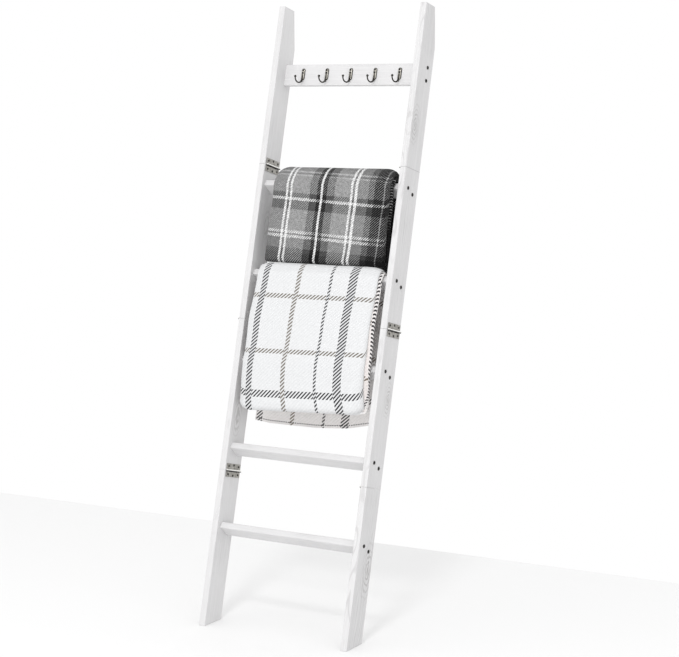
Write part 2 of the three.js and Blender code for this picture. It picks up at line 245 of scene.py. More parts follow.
def nickel(name, base, dark, roughness, highlight_and_shade=None):
    """Plated steel with a cloudy tarnish, darker in patches, and fine scratches."""
    s = Surface(name, Metallic=1.0, Roughness=roughness)
    cloud = s.noise(s.scaled(s.place(), 110, 110, 110), 4, 0.8)
    scratch = s.noise(s.scaled(s.place(), 1800, 120, 1800), 2)
    colour = s.mix(s.ramp(cloud, [(0.38, 0.0), (0.7, 1.0)]), base, dark)
    # Where given, a painted highlight and painted shade go over the plating's own colour
    s.colour(highlight_and_shade(s, colour) if highlight_and_shade else colour)
    s.roughness(s.ramp(cloud, [(0.3, roughness - 0.08), (0.75, roughness + 0.18)]))
    s.bump(scratch, 0.15, 0.0001)
    return s.material


def thread(s, place, period, stops):
    """The colour of a thread at a place across its stripes, and 1 where the thread is a bold one."""
    around = s.math("FRACT", s.math("DIVIDE", place, period))
    colour = s.ramp(around, [(at / period, c) for at, c in stops], "CONSTANT")
    bold = s.ramp(around, [(at / period, float(c in (CHALK, INK))) for at, c in stops], "CONSTANT")
    return colour, bold


def hem_stitch(s, across, colour):
    """A dark running stitch 8 mm from the cloth's cut ends."""
    from_end = s.part(s.node("UVMap", uv_map="hem"), 1)
    on_line = s.math("LESS_THAN", s.math("ABSOLUTE", s.math("SUBTRACT", from_end, 0.008)), 0.0014)
    dash = s.math("LESS_THAN", s.math("FRACT", s.math("DIVIDE", across, 0.008)), 0.6)
    return s.mix(s.math("MULTIPLY", on_line, dash), colour, CHARCOAL)


def twill(name, warp, weft, pitch, speckle, fuzz, crossing=None, painted_shading=None):
    """A woven check. warp and weft are (period, [(start, colour)...]) along the flat cloth, in metres,
    and crossing is the colour of the weft where a dark warp passes over it."""
    s = Surface(name, Roughness=0.95, Specular_IOR_Level=0.12, Sheen_Weight=0.06,
                Sheen_Roughness=0.5)
    flat = s.node("UVMap", uv_map="flat")
    across, along = s.part(flat, 0), s.part(flat, 1)
    fluff = s.node("TexNoise", {"Vector": flat, "Scale": 330.0, "Detail": 3.0})
    stray = s.math("MULTIPLY", s.math("SUBTRACT", fluff, 0.5), fuzz)
    warp_colour, warp_bold = thread(s, s.math("ADD", across, stray), *warp)
    weft_colour, weft_bold = thread(s, s.math("ADD", along, stray), *weft)
    if crossing:
        weft_colour = s.mix(s.math("LESS_THAN", warp_colour, 0.45), weft_colour, crossing)

    phase = s.math("SUBTRACT", s.math("DIVIDE", across, pitch[0]), s.math("DIVIDE", along, pitch[1]))
    turn = s.math("FRACT", s.math("ADD", phase, s.math("MULTIPLY", stray, 40.0)))
    duty = s.multiply_add(s.math("SUBTRACT", warp_bold, weft_bold), 0.28, 0.5)
    over = s.multiply_add(s.math("SUBTRACT", duty, turn), 14.0, 0.5, use_clamp=True)
    colour = s.mix(over, weft_colour, warp_colour)
    # painted_shading, where given, paints light and shade over the check
    if painted_shading:
        colour = painted_shading(s, across, along, colour)
    colour = hem_stitch(s, across, colour)

    clump = s.node("TexNoise", {"Vector": flat, "Scale": 90.0, "Detail": 4.0, "Roughness": 0.75})
    for noise, amount in ((fluff, speckle), (clump, 0.6 * speckle)):
        shade = s.ramp(noise, [(0.36, amount), (0.6, 0.0)])
        colour = s.mix(shade, colour, (0.25, 0.25, 0.25), "MULTIPLY")
    s.colour(colour)
    rib = s.math("SUBTRACT", 0.5, s.math("ABSOLUTE", s.math("SUBTRACT", turn, 0.25)))
    s.bump(s.math("ADD", s.math("MULTIPLY", rib, 0.8), fluff), 0.6, 0.0015)
    return s.material


# ---- Mesh helpers ----
def add_object(name, mesh, material, body):
    piece = bpy.data.objects.new(name, mesh)
    bpy.context.collection.objects.link(piece)
    piece.data.materials.append(material)
    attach(piece, body)
    return piece


def smooth(mesh, angle=40):
    mesh.shade_smooth()
    mesh.set_sharp_from_angle(angle=math.radians(angle))


def bmesh_to_mesh(bm, name, angle=40):
    bmesh.ops.recalc_face_normals(bm, faces=bm.faces)
    mesh = bpy.data.meshes.new(name)
    bm.to_mesh(mesh)
    bm.free()
    smooth(mesh, angle)
    return mesh


def add_rings(bm, rings):
    """Joins closed rings of points into one closed skin, with a cap on each end."""
    loops = [[bm.verts.new(p) for p in ring] for ring in rings]
    for low, high in zip(loops, loops[1:]):
        for i in range(len(low)):
            j = (i + 1) % len(low)
            bm.faces.new((low[i], low[j], high[j], high[i]))
    bm.faces.new(list(reversed(loops[0])))
    bm.faces.new(loops[-1])


def add_lathe(bm, profile, matrix, segments=24):
    """A turned solid about the matrix's Z. profile is (radius, height) from one end to the other."""
    turns = [2 * math.pi * i / segments for i in range(segments)]
    add_rings(bm, [[matrix @ Vector((r * math.cos(a), r * math.sin(a), h)) for a in turns]
                   for r, h in profile])


def add_box(bm, low, high, matrix=Matrix.Identity(4), bevel=0.0):
    made = bmesh.ops.create_cube(bm, size=1)["verts"]
    size = [b - a for a, b in zip(low, high)]
    middle = [(a + b) / 2 for a, b in zip(low, high)]
    for v in made:
        v.co = Vector(c * s + m for c, s, m in zip(v.co, size, middle))
    if bevel:
        edges = list({e for v in made for e in v.link_edges})
        made = bmesh.ops.bevel(bm, geom=edges, offset=bevel, segments=2, affect="EDGES")["verts"]
    for v in set(made):
        v.co = matrix @ v.co


def cross_recess(mesh, width, depth, reach, top):
    """The mesh with a cross sunk in its end at Z = top."""
    bm = bmesh.new()
    add_box(bm, (-reach, -width, top - depth), (reach, width, top + 0.01))
    first = bpy.data.objects.new("cutter_a", bmesh_to_mesh(bm, "cutter_a"))
    bm = bmesh.new()
    add_box(bm, (-width, -reach, top - depth), (width, reach, top + 0.01))
    second = bpy.data.objects.new("cutter_b", bmesh_to_mesh(bm, "cutter_b"))
    body = bpy.data.objects.new("uncut", mesh)
    for o in (body, first, second):
        bpy.context.collection.objects.link(o)
    for cutter in (first, second):
        modifier = body.modifiers.new("cut", "BOOLEAN")
        modifier.operation, modifier.solver, modifier.object = "DIFFERENCE", "EXACT", cutter
    bpy.context.view_layer.update()
    shape = body.evaluated_get(bpy.context.evaluated_depsgraph_get())
    result = bpy.data.meshes.new_from_object(shape)
    for o in (body, first, second):
        bpy.data.objects.remove(o)
    smooth(result, 35)
    return result


def stamp(name, master, places, material, body):
    """One object with a copy of the master mesh at each place."""
    bm = bmesh.new()
    for place in places:
        start = len(bm.verts)
        bm.from_mesh(master)
        bm.verts.ensure_lookup_table()
        for v in bm.verts[start:]:
            v.co = place @ v.co
    mesh = bpy.data.meshes.new(name)
    bm.to_mesh(mesh)
    bm.free()
    smooth(mesh, 35)
    return add_object(name, mesh, material, body)


# ---- Camera, lights and floor ----
def make_camera():
    data = bpy.data.cameras.new("camera")
    data.sensor_width, data.lens = 36, 96.67
    data.clip_start, data.clip_end = 0.1, 60
    camera = bpy.data.objects.new("camera", data)
    yaw, pitch, roll = (math.radians(a) for a in (31.12, 7.504, -0.237))
    forward = Vector((-math.sin(yaw) * math.cos(pitch), math.cos(yaw) * math.cos(pitch),
                      -math.sin(pitch)))
    level = Vector((math.cos(yaw), math.sin(yaw), 0))
    above = level.cross(forward)
    right = math.cos(roll) * level + math.sin(roll) * above
    up = right.cross(forward)
    turned = Matrix((right, up, -forward)).transposed().to_4x4()
    camera.matrix_world = Matrix.Translation((2.7344, -4.4006, 1.5303)) @ turned
    bpy.context.collection.objects.link(camera)
    bpy.context.scene.camera = camera


def make_light(name, place, size, power):
    data = bpy.data.lights.new(name, "AREA")
    data.shape, data.size, data.energy = "DISK", size, power
    light = bpy.data.objects.new(name, data)
    light.location = place
    aim = Vector((0, 0, 0.9)) - Vector(place)
    light.rotation_euler = aim.to_track_quat("-Z", "Y").to_euler()
    bpy.context.collection.objects.link(light)


def make_studio():
    world = bpy.data.worlds.new("studio")
    world.use_nodes = True
    background = next(n for n in world.node_tree.nodes if n.type == "BACKGROUND")
    background.inputs[0].default_value = (1, 1, 1, 1)
    background.inputs[1].default_value = 1.0
    bpy.context.scene.world = world
    bpy.context.scene.view_settings.view_transform = "Standard"
    make_light("key", (1.0, -3.35, 4.4), 1.0, 52)
    make_light("low_fill", (0.9, -4.2, 0.45), 2.4, 56)
    bm = bmesh.new()
    corners = ((-9, -9), (9, -9), (9, 1.10), (-9, 0.59))
    bm.faces.new([bm.verts.new((x, y, -0.0005)) for x, y in corners])
    floor = bpy.data.objects.new("floor", bmesh_to_mesh(bm, "floor"))
    s = Surface("pale_floor", Roughness=0.8)
    s.shader.inputs["Base Color"].default_value = (0.865, 0.865, 0.865, 1)
    floor.data.materials.append(s.material)
    bpy.context.collection.objects.link(floor)


# ---- Wood: the frame's own boards, with a whitewash finish ----
def finish_wood():
    rail = whitewash("whitewashed_rail", LEAN, "Z", rail_marks)
    rung = whitewash("whitewashed_rung", LEAN + RUNG_TILT, "X")
    board = whitewash("whitewashed_board", LEAN, "X")
    for name, node in nodes.items():
        kind = (rail if "_rail_" in name else board if name == "hook_board"
                else rung if name.startswith("rung_") and "screw" not in name else None)
        if kind is None:
            continue
        node.data.materials.clear()
        node.data.materials.append(kind)
        weld = node.modifiers.new("weld", "WELD")
        weld.merge_threshold = 1e-5
        split = node.modifiers.new("split", "EDGE_SPLIT")
        split.split_angle = math.radians(50)
        for face in node.data.polygons:
            face.use_smooth = True
        node.modifiers.new("normals", "WEIGHTED_NORMAL")


# ---- Screws ----
def screw_master(name, radius, height, recess):
    """A domed screw head whose seat is at Z = 0, with a stub of shank below it."""
    bm = bmesh.new()
    profile = [(0.45 * radius, -3 * height), (0.45 * radius, 0), (0.97 * radius, 0),
               (radius, 0.15 * height), (0.97 * radius, 0.5 * height),
               (0.82 * radius, 0.82 * height), (0.5 * radius, 0.97 * height),
               (0.1 * radius, height)]
    add_lathe(bm, profile, Matrix.Identity(4))
    mesh = bmesh_to_mesh(bm, name)
    return cross_recess(mesh, 0.16 * radius, recess, 0.62 * radius, height)


def outward(side):
    """A turn that points Z out of a rail's outer face."""
    return Matrix.Rotation(side * math.pi / 2, 4, "Y")


RUNG_SCREW_REACH = 0.016                            # either way from a rung's middle
BOARD_SCREW_DEPTH, BOARD_SCREW_HEIGHTS = 0.052, (1.614, 1.652)


def make_rail_screws(steel):
    """The pan-head screws that hold the rungs and the hook board."""
    pan = screw_master("pan_head", 0.0054, 0.0021, 0.0012)
    for side, word in ((-1, "left"), (1, "right")):
        places, replaced = [], []
        for i, height in enumerate(RUNG_HEIGHTS):
            for end, where in ((-1, "front"), (1, "back")):
                depth = RUNG_DEPTH + end * RUNG_SCREW_REACH * math.cos(RUNG_TILT)
                up = height - end * RUNG_SCREW_REACH * math.sin(RUNG_TILT)
                spin = Matrix.Rotation(1.1 * i + end + side, 4, "Z")
                seat = Matrix.Translation((side * OUTER_FACE, depth, up))
                places.append(LADDER @ seat @ outward(side) @ spin)
                replaced.append(f"rung_{i + 1}_screw_{word}_{where}")
        piece = stamp(f"rung_screws_{word}", pan, places, steel, "ladder")
        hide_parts(*replaced)
        places = [LADDER @ Matrix.Translation((side * OUTER_FACE, BOARD_SCREW_DEPTH, up))
                  @ outward(side) @ Matrix.Rotation(up * 30, 4, "Z") for up in BOARD_SCREW_HEIGHTS]
        stamp(f"board_screws_{word}", pan, places, steel, "ladder")


# ---- Hinges ----
HINGE_LENGTH, LEAF_HEIGHT, LEAF_THICK, BARREL, KNUCKLES = 0.070, 0.019, 0.0016, 0.0033, 5
HINGE_DEPTH = 0.042                                 # of a hinge's middle
ALONG_PIN = Matrix.Rotation(-math.pi / 2, 4, "X")


def add_leaves(bm, place):
    for up in (1, -1):
        low, high = sorted((up * (BARREL + 0.0006), up * (LEAF_HEIGHT + 0.0004)))
        add_box(bm, (0, -HINGE_LENGTH / 2, low), (LEAF_THICK, HINGE_LENGTH / 2, high), place, 0.0003)


def add_knuckles(bm, place):
    """The leaves' knuckles in turn along the pin, each with the tongue that joins it to its leaf."""
    pitch, edge = HINGE_LENGTH / KNUCKLES, 0.0003
    run = pitch - GAP
    for i in range(KNUCKLES):
        start = -HINGE_LENGTH / 2 + i * pitch + GAP / 2
        axis = place @ Matrix.Translation((BARREL, start, 0)) @ ALONG_PIN
        add_lathe(bm, [(BARREL - edge, 0), (BARREL, edge), (BARREL, run - edge),
                       (BARREL - edge, run)], axis)
        up = 1 if i % 2 == 0 else -1
        low, high = sorted((0.0, up * (BARREL + 0.0012)))
        add_box(bm, (0, start, low), (LEAF_THICK, start + run, high), place, 0.0002)


def add_pin(bm, place):
    """A pin with rounded ends, proud of the barrel at both."""
    span = HINGE_LENGTH + 0.0016
    axis = place @ Matrix.Translation((BARREL, -span / 2, 0)) @ ALONG_PIN
    add_lathe(bm, [(0.0006, 0), (0.0014, 0.0002), (0.0017, 0.0006), (0.0017, span - 0.0006),
                   (0.0014, span - 0.0002), (0.0006, span)], axis, 16)


def leaf_screws(place):
    """The places of three screws in each leaf, the middle one further from the pin."""
    places = []
    for up in (1, -1):
        for i in range(3):
            away = LEAF_HEIGHT * 0.62 + (0.003 if i == 1 else 0)
            seat = Matrix.Translation((LEAF_THICK, (i - 1) * HINGE_LENGTH * 0.36, up * away))
            spin = Matrix.Rotation(2.1 * i + up + place.translation.z, 4, "Z")
            places.append(place @ seat @ Matrix.Rotation(math.pi / 2, 4, "Y") @ spin)
    return places


def make_hinge(name, place, metal, steel, small):
    """A butt hinge in its own frame: X out of the rail, Y along the pin, Z along the rail."""
    bm = bmesh.new()
    add_leaves(bm, place)
    add_knuckles(bm, place)
    add_pin(bm, place)
    hinge = add_object(name, bmesh_to_mesh(bm, name), metal, "ladder")
    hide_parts(f"{name}_upper_leaf", f"{name}_lower_leaf", f"{name}_pin")
    stamp(f"{name}_screws", small, leaf_screws(place), steel, "ladder")


def make_hinges(metal, steel, small):
    """The middle fold has its hinges outside the rails, and the others inside."""
    for i, height in enumerate(FOLDS):
        outside = i == 1
        for side, word in ((-1, "left"), (1, "right")):
            facing = side if outside else -side
            face = side * (OUTER_FACE if outside else INNER_FACE) + facing * GAP
            place = LADDER @ Matrix.Translation((face, HINGE_DEPTH, height))
            if facing < 0:
                place = place @ Matrix.Rotation(math.pi, 4, "Z")
            make_hinge(f"fold_{i + 1}_{word}_hinge", place, metal, steel, small)


# ---- Hooks ----
def curve_points(points, count):
    """Evenly spaced parameters on a smooth curve through the points."""
    p = np.array([2 * np.array(points[0]) - points[1], *points,
                  2 * np.array(points[-1]) - points[-2]], float)
    t = np.linspace(0, len(points) - 1, count)
    i = np.minimum(t.astype(int), len(points) - 2)
    f = (t - i)[:, None]
    a, b, c, d = p[i], p[i + 1], p[i + 2], p[i + 3]
    return 0.5 * (2 * b + (c - a) * f + (2 * a - 5 * b + 4 * c - d) * f**2
                  + (3 * b - a - 3 * c + d) * f**3)


def add_wire(bm, points, radii, matrix, sides=16, count=44):
    """A round wire bent in the YZ plane, whose radius changes along it."""
    line = curve_points(points, count)
    radius = np.interp(np.linspace(0, 1, count), np.linspace(0, 1, len(radii)), radii)
    tangent = np.gradient(line, axis=0)
    tangent /= np.linalg.norm(tangent, axis=1)[:, None]
    turns = [2 * math.pi * k / sides for k in range(sides)]
    add_rings(bm, [[matrix @ Vector((r * math.cos(a), y - r * math.sin(a) * tz, z + r * math.sin(a) * ty))
                    for a in turns] for (y, z), (ty, tz), r in zip(line, tangent, radius)])


def add_plate(bm, width, height, thick, matrix):
    """An oval plate in the XZ plane, domed towards -Y."""
    def outline(inset, depth):
        r, straight = width / 2 - inset, (height - width) / 2
        turns = [2 * math.pi * k / 32 for k in range(32)]
        return [matrix @ Vector((r * math.cos(a), -depth,
                                 r * math.sin(a) + math.copysign(straight, math.sin(a) + 1e-9)))
                for a in turns]
    add_rings(bm, [outline(0, 0), outline(0, 0.5 * thick), outline(0.0004, 0.75 * thick),
                   outline(0.0014, 0.95 * thick), outline(0.003, 1.05 * thick)])


HOOK_SPACING, HOOK_HEIGHT = 0.0815, 1.634
# (Y, Z) along the middle of the wire from the plate to the tip, and its radius on the way
HOOK_ARM = [(-0.0025, 0.004), (-0.0040, -0.009), (-0.0052, -0.0175), (-0.0115, -0.0258),
            (-0.0235, -0.0295), (-0.0345, -0.0272), (-0.0405, -0.0218), (-0.0416, -0.0168)]
HOOK_RADII = (0.0012, 0.0024, 0.0027, 0.0024, 0.0021, 0.0020, 0.0019, 0.0019)
HOOK_SPUR = [(-0.0050, -0.0185), (-0.0032, -0.0210), (-0.0020, -0.0235)]
BALL_PLACE, BALL_RADIUS = (0, -0.0416, -0.0156), 0.0036


def hook_mesh(name, place):
    """An oval plate, a J-shaped wire with a ball at its tip, and a short spur under the plate."""
    bm = bmesh.new()
    add_plate(bm, 0.012, 0.035, 0.0022, place)
    add_wire(bm, HOOK_ARM, HOOK_RADII, place)
    ball = [(BALL_RADIUS * math.sin(a), -BALL_RADIUS * math.cos(a))
            for a in np.linspace(0.12, math.pi - 0.12, 13)]
    add_lathe(bm, ball, place @ Matrix.Translation(BALL_PLACE))
    add_wire(bm, HOOK_SPUR, (0.0022, 0.0018, 0.0008), place, 12)
    return bmesh_to_mesh(bm, name, 50)


def make_hooks(wire, face, steel, small):
    flat_on = Matrix.Rotation(math.pi / 2, 4, "X")
    for i in range(5):
        x = (i - 2) * HOOK_SPACING
        place = LADDER @ Matrix.Translation((x, BOARD_FRONT - GAP, HOOK_HEIGHT))
        name = f"hook_{i + 1}"
        mesh = hook_mesh(f"{name}_fine", place)
        # The wire, its ball, the spur and the plate beneath take the dark copy of the nickel, as painted
        # dark reflection
        hook = add_object(f"{name}_fine", mesh, wire, "ladder")
        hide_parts(name)
        # A smaller face on the plate takes the bright copy, as a painted highlight, and leaves a dark rim
        # round it
        bm = bmesh.new()
        add_plate(bm, 0.0088, 0.0315, 0.0014, place @ Matrix.Translation((0, -0.0022, 0)))
        mesh = bmesh_to_mesh(bm, f"{name}_face", 50)
        add_object(f"{name}_face", mesh, face, "ladder")
        places = [place @ Matrix.Translation((0, -0.0036, z)) @ flat_on
                  @ Matrix.Rotation(i + 40 * z, 4, "Z") for z in (0.0118, 0.0035)]
        stamp(f"{name}_screws", small, places, steel, "ladder")


# ---- Throws ----
RUNG_CORE = (0.022, 0.0065)   # half width and half thickness between the centres of a rung's roundings
CLEAR = 0.0045                # from those centres to the cloth's path


@dataclass
class Throw:
    """A cloth folded twice across and once along, and how it hangs, in metres.

    Along it, s runs from the last fold up the front, over the rung's crown and down the back. Across it,
    x runs from 0 at the left to the folded width.
    """
    width: float         # folded
    cloth: float         # thickness of one layer
    length: float        # of each half of the cloth, from the last fold to the hems
    left: float          # X of the left edge at the crown
    crown: float         # s of the crown
    top: float           # Z of the crown, above which nothing leans
    corners: list        # (y, z) of the points that its path is pulled tight round
    half: list           # (share of the path, half the stack's thickness)
    short: list          # (x, how far the hems end before the length)
    wander: list         # (x, how far the folds lean at the last fold and, the other way, at the crown)
    round: float         # bulge of the first folded edge
    slip: float          # 0 where the layers' hems end level, and 1 where no layer slips on the next
    pinch: float         # share of its thickness that the stack loses at its edges
    shoulder: float      # how far in from the edges it does
    swell: float         # height of its unevenness
    skew_front: float    # lean to the left, for each metre that it falls
    skew_back: float
    flare: float         # more of it for the left edge in front
    tuck: float          # how far the outer layers draw in at the right
    rests_on: list
    taper: float = 0.0   # how much further they do at the last fold
    corner: float = 0.0  # lift of the last fold at its ends
    tilt: float = 0.0    # lift of the last fold from left to right
    slope: float = 0.0   # fall of the check's rows to the right
    shear: float = 0.0   # sideways shift of the check low on the back
    curl: float = 0.0    # 1 where the check turns sideways round the last fold, and 0 where it doesn't


def rung_corner(height, along, across):
    """(y, z) of the centre of one of a rung's roundings."""
    a, c = along * RUNG_CORE[0], across * RUNG_CORE[1]
    depth = RUNG_DEPTH + a * math.cos(RUNG_TILT) + c * math.sin(RUNG_TILT)
    up = height - a * math.sin(RUNG_TILT) + c * math.cos(RUNG_TILT)
    point = LADDER @ Vector((0, depth, up))
    return np.array((point.y, point.z))


def taut_path(corners, step):
    """Stations (y, z, outward angle) of a path pulled tight round the outside of the corners."""
    stations = []
    turns = [math.atan2(b[1] - a[1], b[0] - a[0]) + math.pi / 2
             for a, b in zip(corners, corners[1:])]
    for i, (a, b) in enumerate(zip(corners, corners[1:])):
        count = max(2, math.ceil(np.linalg.norm(np.subtract(b, a)) / step))
        stations += [(*(a + (b - a) * k / count), turns[i]) for k in range(count + 1)]
        if i + 1 < len(turns):
            parts = max(1, math.ceil(abs(turns[i + 1] - turns[i]) / math.radians(8)))
            stations += [(*b, turns[i] + (turns[i + 1] - turns[i]) * k / parts)
                         for k in range(1, parts)]
    return np.array(stations)


class Path:
    """The line under a throw's innermost layer, and half the stack's thickness along it."""

    def __init__(self, throw):
        self.stations = taut_path(throw.corners, 0.011)
        self.index = np.arange(len(self.stations), dtype=float)
        self.walked = self.lengths(0.0)
        self.half = np.interp(self.walked / self.walked[-1], *zip(*throw.half))

    def place(self, q, height):
        """y and z at station q and a height above the line, and the outward angle there."""
        y, z, angle = (np.interp(q, self.index, column) for column in self.stations.T)
        return y + (CLEAR + height) * np.cos(angle), z + (CLEAR + height) * np.sin(angle), angle

    def lengths(self, height):
        """How far each station is along a layer at a height above the line."""
        y, z, _ = self.place(self.index, height)
        return np.concatenate(([0.0], np.cumsum(np.hypot(np.diff(y), np.diff(z)))))


def quarter_fold(width, bulge, fine, coarse):
    """Rows of (x, level, edge) across a cloth folded twice. Level 1 is the outside of the folded band and
    0 its inside, and edge runs from 0 at the first hem to 3.9 at the last."""
    samples = []

    def run(x0, x1, level, edge, step):
        count = max(2, math.ceil(abs(x1 - x0) / step))
        samples.extend((x0 + (x1 - x0) * k / count, level, edge + 0.9 * k / count)
                       for k in range(count + 1))

    def turn(x, start, end, reach, edge, count):
        middle, radius = (start + end) / 2, (start - end) / 2
        for k in range(1, count):
            a = math.pi * k / count
            samples.append((x + reach * math.sin(a), middle + radius * math.cos(a),
                            edge + 0.1 * k / count))

    right, inner_left, hem_left = width - bulge, 0.006, 0.003
    run(0.0, right, 7 / 8, 0.0, fine)
    turn(right, 7 / 8, 1 / 8, bulge, 0.9, 10)
    run(right, inner_left, 1 / 8, 1.0, coarse)
    turn(inner_left, 1 / 8, 3 / 8, -bulge / 3, 1.9, 6)
    run(inner_left, right, 3 / 8, 2.0, coarse)
    turn(right, 3 / 8, 5 / 8, bulge / 3, 2.9, 6)
    run(right, hem_left, 5 / 8, 3.0, coarse)
    return np.array(samples)


def last_fold(path, level):
    """y, z, angle, v and s round the half turn at the bottom of the front."""
    y, z, angle = path.place(0.0, path.half[0])
    turn = np.linspace(math.pi, 0, 13)[1:-1]
    reach = level * path.half[0]
    return (y + reach * np.cos(turn + angle), z + reach * np.sin(turn + angle),
            np.full(len(turn), angle), (math.pi / 2 - turn) * reach, np.zeros(len(turn)))


def cloth_column(throw, path, x, level):
    """y, z, angle, v, s and the distance from the hem, from the inner hem round the last fold to the
    outer one. v is the distance along the cloth from the last fold, negative on the inner side."""
    end = throw.length - np.interp(x, *zip(*throw.short))
    unslipped = path.lengths(path.half)
    sides = []
    for side in (-1, 1):
        length = path.lengths(path.half * (1 + side * level))
        slipped = unslipped + throw.slip * (length - unslipped)
        q = np.linspace(0, 1, len(path.index)) * np.interp(end, slipped, path.index)
        y, z, angle = path.place(q, np.interp(q, path.index, path.half) * (1 + side * level))
        v = math.pi * level * path.half[0] / 2 + np.interp(q, path.index, length)
        sides.append((y, z, angle, side * v, np.interp(q, path.index, path.walked)))
    y, z, angle, v, s = (np.concatenate((inner[::-1], turn, outer))
                         for inner, turn, outer in zip(sides[0], last_fold(path, level), sides[1]))
    return y, z, angle, v, s, np.where(v < 0, v - v[0], v[-1] - v)


# (x, s, phase, weight) of the waves in the throws' surface
WAVES = ((31, 9, 0.4, 1.0), (-17, 21, 2.2, 0.9), (9, -34, 4.1, 0.8), (47, 26, 1.3, 0.45),
         (-58, 39, 5.2, 0.35), (23, 71, 3.0, 0.3))


def ripple(x, s):
    """A smooth uneven field from 0 to 1 over the hanging cloth."""
    total = sum(w * np.sin(a * x + b * s + c) for a, b, c, w in WAVES)
    return 0.5 + 0.5 * total / sum(w for *_, w in WAVES)


def sag(throw, path, x, y, z, angle, s, level):
    """y and z of a stack that thins towards its folded edges, and swells and sinks all over."""
    near = np.clip(1 - np.minimum(x, throw.width - x) / throw.shoulder, 0, 1)
    depth = np.interp(s, path.walked, path.half)
    sink = throw.pinch * near**2 * depth * (1 + level)
    loose = np.clip(0.25 + 6 * np.abs(s - throw.crown), 0, 1)
    swell = throw.swell * ripple(x, s) * loose
    y = y + (swell - sink) * np.cos(angle)
    z = z + (swell - sink) * np.sin(angle)
    z = z + throw.corner * near**2 * np.clip(1 - s / 0.08, 0, 1)
    return y, z + throw.tilt * (x / throw.width - 0.3) * np.clip(1 - s / throw.crown, 0, 1)


# (phase, sideways lag) of the first hem, the three folds and the last hem of a twice-folded cloth
FOLD_DRIFT = ((0.0, 0.0), (0.0, 0.0), (4.8, 0.002), (7.2, -0.0015), (9.6, 0.004))


def sideways(throw, x, z, s, level, edge):
    """X of a stack that hangs askew and spreads to the left in front, and whose folds wander."""
    share = x / throw.width
    back = np.clip((s - throw.crown) / 0.03, 0, 1)
    skew = throw.skew_front * (1 - back) + throw.skew_back * back
    skew = skew + throw.flare * (1 - share) * (1 - back)
    risen = np.clip(s / throw.crown, 0, 1)
    lean = np.interp(x, *zip(*throw.wander)) * (2 * risen - 1)
    lean = lean - throw.tuck * share * np.clip(np.sign(level) * s / 0.05, 0, 1)
    lean = lean - throw.taper * share * (1 - risen) * (1 + level) / 2
    drift = sum(np.clip(1 - np.abs(edge - k), 0, 1)
                * (0.0016 * np.sin(19 * s + phase) + 0.0011 * np.sin(41 * s + phase + 1) + lag)
                for k, (phase, lag) in enumerate(FOLD_DRIFT))
    fallen = np.clip(throw.top - z, 0, None)
    return throw.left + x + drift + lean * (1 - back) - skew * fallen


def flat_places(throw, points, x, v, s):
    """Where the points lie on the flat cloth, across it from the left hem and along it from the last fold.
    The check lies a little off the square, most of all round the last fold."""
    share = x / throw.width
    across = np.zeros(x.shape)
    across[1:] = np.cumsum(np.linalg.norm(np.diff(points, axis=0), axis=-1), axis=0)
    along = v + throw.slope * (share - 0.45) * throw.width
    across = across + throw.shear * np.clip((-along - 0.5) / 0.3, 0, 1)
    across = across - (0.006 + 0.014 * share) * throw.curl * np.clip(1 - s / 0.07, 0, 1) ** 2
    return across, along


def thick_sheet(name, middle, uvs, half):
    """A closed cloth round a grid of points, with a UV map for each pair of values in uvs."""
    rows, cols = middle.shape[:2]
    normal = np.cross(np.gradient(middle, axis=0), np.gradient(middle, axis=1))
    normal /= np.linalg.norm(normal, axis=-1)[..., None]
    points = np.concatenate([(middle + sign * normal * half[..., None]).reshape(-1, 3)
                             for sign in (1, -1)])
    index = np.arange(rows * cols).reshape(rows, cols)
    quads = np.stack((index[:-1, :-1], index[1:, :-1], index[1:, 1:], index[:-1, 1:]), -1)
    quads = quads.reshape(-1, 4)
    below = rows * cols
    rim = np.concatenate((index[0, :], index[1:, -1], index[-1, -2::-1], index[-2:0:-1, 0]))
    after = np.roll(rim, -1)
    sides = np.stack((rim, after, after + below, rim + below), -1)
    faces = np.concatenate((quads, quads[:, ::-1] + below, sides))
    mesh = bpy.data.meshes.new(name)
    mesh.from_pydata(points.tolist(), [], faces.tolist())
    for layer_name, pairs in uvs.items():
        layer = mesh.uv_layers.new(name=layer_name)
        at = np.concatenate((pairs.reshape(-1, 2),) * 2)
        layer.data.foreach_set("uv", at[faces.ravel()].ravel().astype(np.float32))
    mesh.validate()
    smooth(mesh, 60)
    return mesh


def folded_throw(name, throw, material, body, node):
    """A throw laid over its rung, as one closed cloth through all its folds."""
    path = Path(throw)
    samples = quarter_fold(throw.width, throw.round, 0.009, 0.022)
    columns = np.array([cloth_column(throw, path, x, level) for x, level, _ in samples])
    y, z, angle, v, s, hem = np.moveaxis(columns, 1, 0)
    x, level, edge = (np.repeat(c[:, None], y.shape[1], axis=1) for c in samples.T)
    level = np.sign(v) * level   # now from -1 next to the path to 1 on the outside
    y, z = sag(throw, path, x, y, z, angle, s, level)
    points = np.stack((sideways(throw, x, z, s, level, edge), y, z), axis=-1)
    across, along = flat_places(throw, points, x, v, s)
    uvs = {"flat": np.stack((across, along), -1), "hem": np.stack((across, hem), -1)}
    at_hem = np.clip(1 - np.minimum(np.abs(edge), np.abs(3.9 - edge)) * 30, 0, 1)
    mesh = thick_sheet(name, points, uvs, throw.cloth / 2 * (1 + 0.22 * at_hem))
    piece = add_object(name, mesh, material, body)
    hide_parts(node)


def light_painted_shading(s, across, along, colour):
    """Painted light, lighter and warmer, on the half of the cloth next to the rung, which shows in shade
    on the back fall, and painted shade over the layers inside the folds.
    """
    # Painted light: the half next to the rung, seen in shade on the back fall, is made lighter and warmer
    reverse = s.math("LESS_THAN", along, 0.0)
    colour = s.mix(reverse, colour, (1.16, 1.12, 1.095), "MULTIPLY")
    # Painted shade: every layer behind the outer one, which the folds shade, is made darker
    inside = s.ramp(across, [(0.418, 0.0), (0.430, 1.0)])
    return s.mix(inside, colour, (0.86, 0.83, 0.82), "MULTIPLY")


